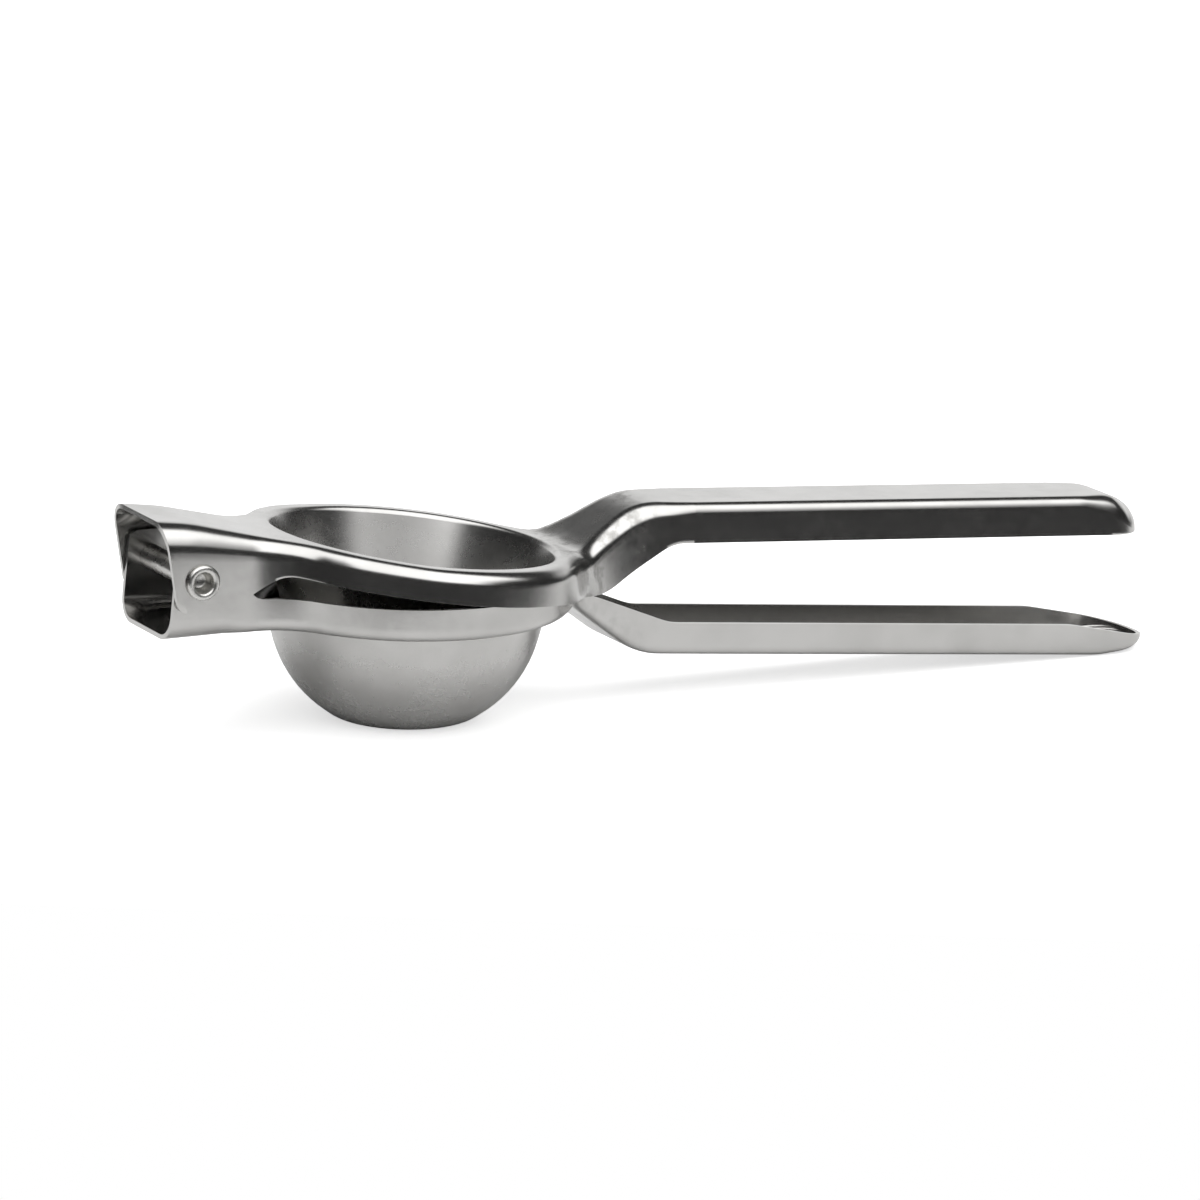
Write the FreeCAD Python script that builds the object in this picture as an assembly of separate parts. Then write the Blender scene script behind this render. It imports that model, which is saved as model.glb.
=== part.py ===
"""Hinged lemon squeezer: two steel stampings that turn on one rivet.

Millimetres, +Z up. The origin is the centre of the strainer bowl's flat
underside, +X runs along the handles and -Y is the side with the rolled end
of the rivet. The part is drawn closed, as it lies on a table.
"""
import FreeCAD, Part
import math
import os
from FreeCAD import Vector

# Sheet that both arms are stamped from
SHEET = 0.9
SKIN_EDGE_RADIUS = 2.0
SIDE_CLEARANCE = 0.2
NECK_RADIUS = 8.0
HANDLE_NECK_RADIUS = 9.0
TIP_FLAT = 1.2

# Hinge pin and its rivet
PIN_BEHIND_BOWL = 47.8
PIN_HEIGHT = 32.1
SHANK_RADIUS = 2.25
SHANK_CLEARANCE = 0.05
HEAD_RADIUS = 3.3
HEAD_HEIGHT = 0.9
HEAD_CLEARANCE = 0.1
RING_TUBE_RADIUS = 0.65
RECESS_RADIUS = 1.5
RECESS_DEPTH = 3.0
CLOSED_TILT = 6.0

# Lower arm, from above
LOWER_RIM_RADIUS = 31.8
LOWER_HANDLE_WIDTH = 17.7
HINGE_CHANNEL_WIDTH = 22.4
LOWER_REACH = 162.4

# Lower arm, from the side
LOWER_PLATE_HEIGHT = 21.3
LOWER_SKIRT = 6.4
LOWER_END_BEHIND_PIN = 6.5
LOWER_END_DROP = 0.6
LOWER_EAR_BEHIND_PIN = 5.2
LOWER_EAR_ABOVE_PIN = 5.2
LOWER_EAR_FRONT = 5.0
LOWER_EAR_FOOT = 11.5
EAR_CORNER_RADIUS = 2.0
LOWER_SLOPE_START = 29.8
LOWER_SLOPE_RUN = 19.2
LOWER_SLOPE_RADIUS = 7.0
LOWER_HANDLE_DROOP = 5.1
LOWER_TOUCH = 150.0
LOWER_HANDLE_WALL = 6.4
LOWER_NECK_CUT = 22.5
LOWER_TIP_RISE = 0.9
LOWER_TIP_WALL = 1.6
LOWER_TIP_TAPER = 20.0

# Strainer bowl, outer surface
BOWL_MOUTH_RADIUS = 26.6
BOWL_DRAFT = 14.0
BOWL_FOOT_START = 13.1
BOWL_FOOT_ANGLE = 35.0
BOWL_BELLY_RADIUS = 24.0
BOWL_FOOT_RADIUS = 6.0
BOWL_DRAW_RADIUS = 1.2
JUICE_HOLE_RADIUS = 1.6
INNER_RING_HOLES = 4
INNER_RING_RADIUS = 4.2
OUTER_RING_HOLES = 9
OUTER_RING_RADIUS = 8.6

# Upper arm, from above and measured from the pin
UPPER_RIM_RADIUS = 33.0
UPPER_BOWL_FROM_PIN = 50.0
UPPER_HANDLE_WIDTH = 18.6
UPPER_REACH = 207.3

# Upper arm, from the side and measured from the pin
UPPER_PLATE_ABOVE_PIN = 7.1
UPPER_SKIRT = 6.4
UPPER_END_BEHIND_PIN = 8.9
UPPER_END_RISE = 3.2
UPPER_SLOPE_START = 81.0
UPPER_SLOPE_RUN = 11.5
UPPER_SLOPE_RADIUS = 7.0
UPPER_HANDLE_LIFT = 9.2
UPPER_HANDLE_RISE = 2.3
UPPER_HANDLE_WALL = 7.4
UPPER_NECK_DROP = 1.4
UPPER_NOSE_RUN = 8.0
UPPER_NOSE_DROP = 3.6
UPPER_NOSE_RADIUS = 12.0
UPPER_EAR_BELOW_PIN = 6.3
UPPER_EAR_BEHIND_PIN = 3.2
UPPER_EAR_FRONT = 7.0
UPPER_EAR_RISE = 1.7
UPPER_EAR_FOOT = 16.0

# Press bowl, outer surface
PRESS_MOUTH_RADIUS = 25.9
PRESS_DEPTH = 26.5
PRESS_DRAFT = 14.0
PRESS_FOOT_START = 11.0
PRESS_FOOT_ANGLE = 42.0
PRESS_BELLY_RADIUS = 15.0
PRESS_FOOT_RADIUS = 6.0
PRESS_DRAW_RADIUS = 1.6

# Worked out from the sizes above
PIN = Vector(-PIN_BEHIND_BOWL, 0, PIN_HEIGHT)
LOWER_SKIRT_TOP = LOWER_PLATE_HEIGHT + LOWER_SKIRT
UPPER_EAR_HALF = HINGE_CHANNEL_WIDTH / 2 + SIDE_CLEARANCE + SHEET
EAR_HOLE_RADIUS = SHANK_RADIUS + SHANK_CLEARANCE
BEYOND = 30.0
FAR = 200.0


def tangent(degrees):
    return math.tan(math.radians(degrees))


def shifted(path, inset):
    """Offset an open path of (u, v, corner radius) to its left; the arcs stay concentric."""
    sides = []
    for start, end in zip(path, path[1:]):
        length = math.hypot(end[0] - start[0], end[1] - start[1])
        along = ((end[0] - start[0]) / length, (end[1] - start[1]) / length)
        foot = (start[0] - along[1] * inset, start[1] + along[0] * inset)
        sides.append((foot, along, length))
    moved = [(sides[0][0][0], sides[0][0][1], 0)]
    for before, after, corner in zip(sides, sides[1:], path[1:]):
        turn = before[1][0] * after[1][1] - before[1][1] * after[1][0]
        gap = (after[0][0] - before[0][0], after[0][1] - before[0][1])
        step = (gap[0] * after[1][1] - gap[1] * after[1][0]) / turn
        radius = max(corner[2] - math.copysign(inset, turn), 0.05)
        moved.append((before[0][0] + before[1][0] * step, before[0][1] + before[1][1] * step, radius))
    foot, along, length = sides[-1]
    moved.append((foot[0] + along[0] * length, foot[1] + along[1] * length, 0))
    return moved


def outline(corners, closed=True):
    """A wire in the XZ plane through (x, z, radius) corners, each rounded by a tangent arc."""
    points = [Vector(x, 0, z) for x, z, radius in corners]
    count = len(points)
    arcs = []
    for index, corner in enumerate(corners):
        here = points[index]
        ends_the_path = not closed and index in (0, count - 1)
        if corner[2] <= 0 or ends_the_path:
            arcs.append((here, here, None))
            continue
        back = (points[index - 1] - here).normalize()
        ahead = (points[(index + 1) % count] - here).normalize()
        half = back.getAngle(ahead) / 2
        reach = corner[2] / math.tan(half)
        bisector = (back + ahead).normalize()
        middle = here + bisector * (corner[2] / math.sin(half) - corner[2])
        first, last = here + back * reach, here + ahead * reach
        arcs.append((first, last, Part.Arc(first, middle, last).toShape()))
    edges = []
    for index, (first, last, arc) in enumerate(arcs):
        if arc is not None:
            edges.append(arc)
        if closed or index < count - 1:
            end = arcs[(index + 1) % count][0]
            edges.append(Part.LineSegment(last, end).toShape())
    return Part.Wire(edges)


def across(corners):
    """A closed side outline carried right across the part along Y."""
    face = Part.Face(outline(corners))
    face.translate(Vector(0, -FAR / 2, 0))
    return face.extrude(Vector(0, FAR, 0))


def turned(corners):
    """A closed radius-height outline turned about the Z axis."""
    return Part.Face(outline(corners)).revolve(Vector(0, 0, 0), Vector(0, 0, 1), 360)


def upright_edges(body, low, high, half):
    """Vertical straight edges between two X values, on the walls at +-half."""
    found = []
    for edge in body.Edges:
        if not isinstance(edge.Curve, Part.Line):
            continue
        start, end = edge.Vertexes[0].Point, edge.Vertexes[-1].Point
        upright = abs(start.x - end.x) + abs(start.y - end.y) < 1e-6
        if upright and low <= start.x <= high and abs(abs(start.y) - half) < 1e-3:
            found.append(edge)
    return found


def seen_from_above(centre, rim, back, front, ear_half, grip_half, inset):
    """Upright prism of an arm: round rim, hinge channel and handle, with filleted necks."""
    radius = rim - inset
    half = ear_half - inset
    grip = grip_half - inset
    nose = front - inset
    low = Vector(0, 0, -FAR / 2)
    disc = Part.makeCylinder(radius, FAR, low + Vector(centre, 0, 0))
    channel = Part.makeBox(centre - back, 2 * half, FAR, low + Vector(back, -half, 0))
    handle = Part.makeBox(nose - centre, 2 * grip, FAR, low + Vector(centre, -grip, 0))
    body = disc.fuse([channel, handle]).removeSplitter()
    body = body.makeFillet(NECK_RADIUS + inset, upright_edges(body, centre - radius, centre, half))
    necks = upright_edges(body, centre, centre + radius, grip)
    body = body.makeFillet(HANDLE_NECK_RADIUS + inset, necks)
    tips = upright_edges(body, nose - 0.01, nose + 0.01, grip)
    return body.makeFillet(grip - TIP_FLAT / 2, tips)


def pressed_block(plan, skin, inset, open_side):
    """Solid under an arm's skin, its skin edge rounded; open_side is +1 up or -1 down."""
    path = shifted(skin, inset)
    far = open_side * FAR / 2
    first, last = path[0], path[-1]
    closing = [(last[0], far, 0), (first[0], far, 0)]
    block = plan.common(across(path + closing)).removeSplitter()
    skin_line = outline(path, closed=False)
    rim = []
    for edge in block.Edges:
        middle = edge.valueAt((edge.FirstParameter + edge.LastParameter) / 2)
        start, end = edge.Vertexes[0].Point, edge.Vertexes[-1].Point
        across_the_part = abs(start.x - end.x) + abs(start.z - end.z) < 1e-6 and abs(start.y - end.y) > 1
        tip_edge = across_the_part and abs(abs(start.y) - TIP_FLAT / 2) < 0.01
        flat = Part.Vertex(middle.x, 0, middle.z)
        if flat.distToShape(skin_line)[0] < 1e-3 and (not across_the_part or tip_edge):
            rim.append(edge)
    return block.makeFillet(SKIN_EDGE_RADIUS - inset, rim)


def bowl_path(mouth, height, draft, foot_start, foot_angle, belly, foot, draw, flange):
    """Outer surface of a bowl from the centre of its flat to its flange, as a cornered path."""
    lean = tangent(draft)
    fall = tangent(foot_angle)
    knee = ((mouth - height * lean) - foot_start) * fall / (1 - lean * fall)
    return [
        (0, 0, 0),
        (foot_start, 0, foot),
        (foot_start + knee / fall, knee, belly),
        (mouth, height, draw),
        (flange, height, 0),
    ]


def bowl_pieces(path):
    """Shell of a bowl with its bit of flange, and the disc that the flange replaces."""
    inner = shifted(path, SHEET)
    rim, height = path[-1][0], path[-1][1]
    shell = turned(path + [(rim, height + SHEET, 0)] + inner[-2:0:-1] + [(0, SHEET, 0)])
    mouth = Part.makeCylinder(rim, SHEET, Vector(0, 0, height))
    return shell, mouth


def hinge_hole(where):
    """Bar through both ears of an arm at the pin."""
    return Part.makeCylinder(EAR_HOLE_RADIUS, FAR, where + Vector(0, -FAR / 2, 0), Vector(0, 1, 0))


def lower_skin():
    """Underside of the lower arm from behind the hinge end to past the tip."""
    end = -PIN_BEHIND_BOWL - LOWER_END_BEHIND_PIN
    slope_end = LOWER_SLOPE_START + LOWER_SLOPE_RUN
    foot = (LOWER_TOUCH - slope_end) * tangent(LOWER_HANDLE_DROOP)
    rise = LOWER_TIP_RISE / (LOWER_REACH - LOWER_TOUCH)
    bend = -LOWER_RIM_RADIUS
    fall = LOWER_END_DROP / (bend - end)
    return [
        (end - BEYOND, LOWER_PLATE_HEIGHT - LOWER_END_DROP - BEYOND * fall, 0),
        (bend, LOWER_PLATE_HEIGHT, FAR),
        (LOWER_SLOPE_START, LOWER_PLATE_HEIGHT, LOWER_SLOPE_RADIUS),
        (slope_end, foot, LOWER_SLOPE_RADIUS),
        (LOWER_TOUCH, 0, LOWER_TIP_TAPER),
        (LOWER_REACH + BEYOND, LOWER_TIP_RISE + BEYOND * rise, 0),
    ]


def lower_trim():
    """Side outline that the lower stamping is cut to: ears, skirt top and handle edges."""
    end = -PIN_BEHIND_BOWL - LOWER_END_BEHIND_PIN
    ear_back = -PIN_BEHIND_BOWL - LOWER_EAR_BEHIND_PIN
    ear_top = PIN_HEIGHT + LOWER_EAR_ABOVE_PIN
    ear_front = -PIN_BEHIND_BOWL + LOWER_EAR_FRONT
    ear_foot = -PIN_BEHIND_BOWL + LOWER_EAR_FOOT
    slope_end = LOWER_SLOPE_START + LOWER_SLOPE_RUN
    droop = tangent(LOWER_HANDLE_DROOP)
    taper = LOWER_REACH - LOWER_TIP_TAPER
    heel = slope_end + LOWER_HANDLE_WALL
    heel_top = (LOWER_TOUCH - heel) * droop + LOWER_HANDLE_WALL
    neck = LOWER_RIM_RADIUS + SHEET
    return [
        (end - SHEET, -BEYOND, 0),
        (end, LOWER_PLATE_HEIGHT - LOWER_END_DROP, 0),
        (ear_back, ear_top, EAR_CORNER_RADIUS),
        (ear_front, ear_top, EAR_CORNER_RADIUS),
        (ear_foot, LOWER_SKIRT_TOP, EAR_CORNER_RADIUS),
        (neck - LOWER_SKIRT - 2 * SHEET, LOWER_SKIRT_TOP, LOWER_SKIRT),
        (neck + SHEET, LOWER_NECK_CUT, LOWER_SKIRT),
        (heel, heel_top, LOWER_SLOPE_RADIUS),
        (taper, (LOWER_TOUCH - taper) * droop + LOWER_HANDLE_WALL, LOWER_TIP_TAPER),
        (LOWER_REACH + SHEET, LOWER_TIP_RISE + LOWER_TIP_WALL, 0),
        (LOWER_REACH + SHEET, -BEYOND, 0),
    ]


def make_lower_arm():
    """Strainer bowl, flange, handle channel and inner hinge ears, in one stamping."""
    back = -PIN_BEHIND_BOWL - LOWER_END_BEHIND_PIN - BEYOND / 2
    size = (0, LOWER_RIM_RADIUS, back, LOWER_REACH, HINGE_CHANNEL_WIDTH / 2, LOWER_HANDLE_WIDTH / 2)
    skin = lower_skin()
    outer = pressed_block(seen_from_above(*size, 0), skin, 0, 1)
    inner = pressed_block(seen_from_above(*size, SHEET), skin, SHEET, 1)
    flange = BOWL_MOUTH_RADIUS + BOWL_DRAW_RADIUS + SHEET
    shell, mouth = bowl_pieces(bowl_path(
        BOWL_MOUTH_RADIUS, LOWER_PLATE_HEIGHT, BOWL_DRAFT, BOWL_FOOT_START, BOWL_FOOT_ANGLE,
        BOWL_BELLY_RADIUS, BOWL_FOOT_RADIUS, BOWL_DRAW_RADIUS, flange))
    arm = outer.cut(inner).common(across(lower_trim()))
    arm = arm.cut(mouth).fuse(shell).removeSplitter()
    holes = [hinge_hole(PIN)]
    for count, ring in ((INNER_RING_HOLES, INNER_RING_RADIUS), (OUTER_RING_HOLES, OUTER_RING_RADIUS)):
        for number in range(count):
            turn = 2 * math.pi * number / count
            place = Vector(ring * math.cos(turn), ring * math.sin(turn), -SHEET)
            holes.append(Part.makeCylinder(JUICE_HOLE_RADIUS, 3 * SHEET, place))
    return arm.cut(holes)


def upper_skin():
    """Top of the upper arm from past the tip back to behind the hinge end, from the pin."""
    neck = UPPER_BOWL_FROM_PIN - UPPER_RIM_RADIUS
    rise = UPPER_END_RISE / (neck + UPPER_END_BEHIND_PIN)
    slope_end = UPPER_SLOPE_START + UPPER_SLOPE_RUN
    handle_start = UPPER_PLATE_ABOVE_PIN + UPPER_HANDLE_LIFT
    nose = UPPER_REACH - UPPER_NOSE_RUN
    nose_top = handle_start + (nose - slope_end) * tangent(UPPER_HANDLE_RISE)
    fall = UPPER_NOSE_DROP / UPPER_NOSE_RUN
    return [
        (UPPER_REACH + BEYOND, nose_top - UPPER_NOSE_DROP - BEYOND * fall, 0),
        (nose, nose_top, UPPER_NOSE_RADIUS),
        (slope_end, handle_start, UPPER_SLOPE_RADIUS),
        (UPPER_SLOPE_START, UPPER_PLATE_ABOVE_PIN, UPPER_SLOPE_RADIUS),
        (neck, UPPER_PLATE_ABOVE_PIN, FAR / 4),
        (-UPPER_END_BEHIND_PIN - BEYOND, UPPER_PLATE_ABOVE_PIN + UPPER_END_RISE + BEYOND * rise, 0),
    ]


def upper_trim():
    """Side outline that the upper stamping is cut to: end, ears, skirt and handle edges."""
    skirt = UPPER_PLATE_ABOVE_PIN - UPPER_SKIRT
    slope_end = UPPER_SLOPE_START + UPPER_SLOPE_RUN
    heel = slope_end + UPPER_HANDLE_WALL
    rise = tangent(UPPER_HANDLE_RISE)
    handle_start = UPPER_PLATE_ABOVE_PIN + UPPER_HANDLE_LIFT
    edge = handle_start + (heel - slope_end) * rise - UPPER_HANDLE_WALL
    tip_edge = edge + (UPPER_REACH - heel) * rise
    neck = skirt - UPPER_NECK_DROP
    end_top = UPPER_PLATE_ABOVE_PIN + UPPER_END_RISE
    return [
        (-UPPER_END_BEHIND_PIN, BEYOND, 0),
        (-UPPER_END_BEHIND_PIN, end_top - SHEET, 0),
        (-UPPER_EAR_BEHIND_PIN - SHEET, -UPPER_EAR_BELOW_PIN, EAR_CORNER_RADIUS),
        (UPPER_EAR_FRONT, -UPPER_EAR_BELOW_PIN + UPPER_EAR_RISE, EAR_CORNER_RADIUS),
        (UPPER_EAR_FOOT, skirt, UPPER_SKIRT),
        (UPPER_BOWL_FROM_PIN + UPPER_RIM_RADIUS / 2, skirt, UPPER_RIM_RADIUS),
        (UPPER_SLOPE_START + UPPER_SKIRT, neck, UPPER_SLOPE_RADIUS),
        (heel, edge, UPPER_SLOPE_RADIUS),
        (UPPER_REACH + SHEET, tip_edge, 0),
        (UPPER_REACH + SHEET, BEYOND, 0),
    ]


def make_upper_arm():
    """Press bowl, flange, handle channel and outer hinge ears, in one stamping."""
    back = -UPPER_END_BEHIND_PIN - BEYOND / 2
    size = (UPPER_BOWL_FROM_PIN, UPPER_RIM_RADIUS, back, UPPER_REACH, UPPER_EAR_HALF, UPPER_HANDLE_WIDTH / 2)
    skin = upper_skin()
    outer = pressed_block(seen_from_above(*size, 0), skin, 0, -1)
    inner = pressed_block(seen_from_above(*size, SHEET), skin, SHEET, -1)
    flange = PRESS_MOUTH_RADIUS + PRESS_DRAW_RADIUS + SHEET
    height = PRESS_DEPTH - SHEET
    shell, mouth = bowl_pieces(bowl_path(
        PRESS_MOUTH_RADIUS, height, PRESS_DRAFT, PRESS_FOOT_START, PRESS_FOOT_ANGLE,
        PRESS_BELLY_RADIUS, PRESS_FOOT_RADIUS, PRESS_DRAW_RADIUS, flange))
    seat = Vector(UPPER_BOWL_FROM_PIN, 0, UPPER_PLATE_ABOVE_PIN - PRESS_DEPTH)
    shell.translate(seat)
    mouth.translate(seat)
    arm = outer.cut(inner).common(across(upper_trim()))
    arm = arm.cut(mouth).fuse(shell).removeSplitter().cut(hinge_hole(Vector(0, 0, 0)))
    arm.translate(PIN)
    arm.rotate(PIN, Vector(0, 1, 0), CLOSED_TILT)
    return arm


def make_hinge_rivet():
    """Semi-tubular rivet: low domed head on the far side, rolled ring on the near side."""
    seat = UPPER_EAR_HALF + HEAD_CLEARANCE
    crown = seat + HEAD_HEIGHT
    ring = HEAD_RADIUS - RING_TUBE_RADIUS
    floor = crown - RECESS_DEPTH
    return_corners = [
        (0, -crown, 0),
        (HEAD_RADIUS - HEAD_HEIGHT / 2, -crown + HEAD_HEIGHT / 4, HEAD_HEIGHT),
        (HEAD_RADIUS, -seat, 0),
        (SHANK_RADIUS, -seat, 0),
        (SHANK_RADIUS, seat, 0),
        (HEAD_RADIUS, seat, 0),
        (HEAD_RADIUS, crown, RING_TUBE_RADIUS * 0.98),
        (ring - RING_TUBE_RADIUS, crown, RING_TUBE_RADIUS * 0.98),
        (RECESS_RADIUS, floor, 0),
        (0, floor - RECESS_RADIUS / 2, 0),
    ]
    rivet = turned(return_corners)
    rivet.rotate(Vector(0, 0, 0), Vector(1, 0, 0), 90)
    rivet.translate(PIN)
    return rivet


def main():
    os.makedirs("parts", exist_ok=True)
    pieces = {
        "lower_arm": make_lower_arm(),
        "upper_arm": make_upper_arm(),
        "hinge_rivet": make_hinge_rivet(),
    }
    for name, piece in pieces.items():
        box = piece.BoundBox
        print(name, piece.isValid(), len(piece.Solids), round(piece.Volume), box)
        piece.exportStep(f"parts/{name}.step")


main()
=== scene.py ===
"""Hinged lemon squeezer of stamped stainless steel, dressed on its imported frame.

Both arms are one sheet each: a skin whose height depends on x alone, walls
that stand round its plan outline, and a bowl turned about an upright axis.
Every surface is worked out with numpy in metres, in the frame's own axes.
"""
import math

import bmesh
import bpy
import numpy as np
from mathutils import Matrix, Vector


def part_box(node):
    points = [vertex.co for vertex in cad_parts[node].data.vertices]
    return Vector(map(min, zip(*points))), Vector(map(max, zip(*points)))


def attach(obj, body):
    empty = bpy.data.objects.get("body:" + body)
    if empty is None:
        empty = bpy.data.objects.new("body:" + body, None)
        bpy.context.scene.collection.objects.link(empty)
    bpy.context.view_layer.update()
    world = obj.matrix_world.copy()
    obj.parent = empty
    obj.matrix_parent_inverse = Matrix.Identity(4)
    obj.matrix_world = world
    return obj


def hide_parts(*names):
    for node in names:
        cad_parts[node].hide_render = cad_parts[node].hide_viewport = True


bl_info = {
    "name": "Stamped Lemon Squeezer",
    "version": (1, 0, 0),
    "blender": (4, 5, 0),
    "location": "View3D > Sidebar > Squeezer",
    "description": "Builds a hinged lemon squeezer: two pressed steel arms, their rivet and a pale stage",
    "category": "Add Mesh",
}

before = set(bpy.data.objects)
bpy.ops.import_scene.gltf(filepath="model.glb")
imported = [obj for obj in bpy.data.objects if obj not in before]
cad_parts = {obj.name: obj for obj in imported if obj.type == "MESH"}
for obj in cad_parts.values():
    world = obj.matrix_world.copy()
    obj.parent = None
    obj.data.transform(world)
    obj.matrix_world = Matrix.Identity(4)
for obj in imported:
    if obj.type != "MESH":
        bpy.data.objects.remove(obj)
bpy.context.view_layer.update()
MM = 0.001
PIN = (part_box("hinge_rivet")[0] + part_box("hinge_rivet")[1]) / 2
TINY = 1e-7
WELD = 2e-6  # points closer than this are one
RUN_OUT = 30 * MM  # how far a skin line runs on past the sheet's ends
END_REACH = 12 * MM  # how far from the hinge end a column still leans with it
DRAFT_DEPTH = 9 * MM  # a wall deeper than this leans out no further
WALL_ROWS, BEND_ROWS, SKIN_ROWS = 8, 10, 10


def length(name, default_mm, description):
    """A length property whose default is given in millimetres."""
    return bpy.props.FloatProperty(name=name, default=default_mm * MM, description=description,
                                   subtype="DISTANCE", unit="LENGTH", precision=5)


def angle(name, default_degrees, description):
    """An angle property whose default is given in degrees."""
    return bpy.props.FloatProperty(name=name, default=math.radians(default_degrees),
                                   description=description, subtype="ANGLE", unit="ROTATION")


def linear_colour(code):
    """Turn an sRGB hex code such as c8c6c1 into linear red, green, blue."""
    parts = [int(code[i:i + 2], 16) / 255 for i in (0, 2, 4)]
    return tuple(p / 12.92 if p <= 0.04045 else ((p + 0.055) / 1.055) ** 2.4 for p in parts)


def colour(name, code, description):
    """A colour property whose default is an sRGB hex code."""
    return bpy.props.FloatVectorProperty(name=name, default=linear_colour(code), size=3, min=0, max=1,
                                         subtype="COLOR", description=description)


class SqueezerSheet(bpy.types.PropertyGroup):
    """Sizes that both arms share"""
    thickness: length("Sheet", 0.9, "Thickness of the steel sheet")
    edge_round: length("Cut edge", 0.26, "Rounding of the sheet's cut edges")
    hinge_round: length("Hinge bend", 4.6, "Outer radius between skin and wall at the open hinge end")
    rim_round: length("Rim bend", 2.3, "Outer radius between skin and wall round the bowl")
    grip_round: length("Handle bend", 1.9, "Outer radius between skin and wall along the handle")
    neck: length("Hinge neck", 13.0, "Radius where the hinge channel meets the round rim")
    tip_flat: length("Tip flat", 1.2, "Straight stretch at the very end of a handle")
    flange: length("Flange", 0.5, "Width of the flat ring that the bowl's profile keeps beyond its mouth")


class SqueezerLower(bpy.types.PropertyGroup):
    """Sizes of the arm that holds the strainer bowl"""
    rim: length("Rim radius", 31.8, "Outer radius of the skirt")
    ear_half: length("Hinge half width", 11.2, "Half the outer width of the hinge channel")
    grip_half: length("Handle half width", 8.85, "Half the outer width of the handle")
    plate: length("Plate height", 21.3, "Height of the flange's underside")
    grip_neck: length("Handle neck", 10.0, "Radius where the handle meets the round rim")
    skirt: length("Skirt", 6.4, "Height of the skirt")
    end_drop: length("End drop", 0.6, "How far the channel's underside falls to the hinge end")
    ear_rise: length("Ear", 5.2, "How far the ears stand above the pin")
    ear_front: length("Ear front", 5.0, "Where the ear's top ends in front of the pin")
    ear_foot: length("Ear foot", 11.5, "Where the ear's slope meets the skirt, in front of the pin")
    ear_corner: length("Ear corner", 2.0, "Radius of the ear's corners")
    end_back: length("End", 5.8, "How far the channel's underside reaches behind the pin")
    end_lean: length("End lean", 1.3, "How far the end leans forwards from bottom to top")
    slope_start: length("Slope start", 29.3, "Where the underside starts down to the handle")
    slope_run: length("Slope run", 16.6, "Length of that slope along the tool")
    slope_round: length("Slope bend", 8.5, "Radius of the bend where the slope leaves the flange")
    foot_round: length("Slope foot", 17.0, "Radius of the bend where the slope meets the handle")
    heel: length("Heel", 52.3, "Where the walls' edge comes down to the handle")
    droop: angle("Handle droop", 5.1, "Angle of the handle below the flange")
    touch: length("Touch point", 150.0, "Where the handle's underside meets the table")
    grip_wall: length("Handle wall", 6.4, "Height of the handle's walls")
    neck_cut: length("Neck cut", 22.5, "Height of the wall's edge where the upper arm rests on it")
    tip_rise: length("Tip rise", 0.9, "How far the underside rises at the tip")
    tip_wall: length("Tip wall", 1.6, "Wall height that is left at the tip")
    tip_taper: length("Tip taper", 20.0, "Length over which the walls run down to the tip")
    draft: angle("Wall draft", 1.5, "How far the walls lean outwards to their edges")


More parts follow.
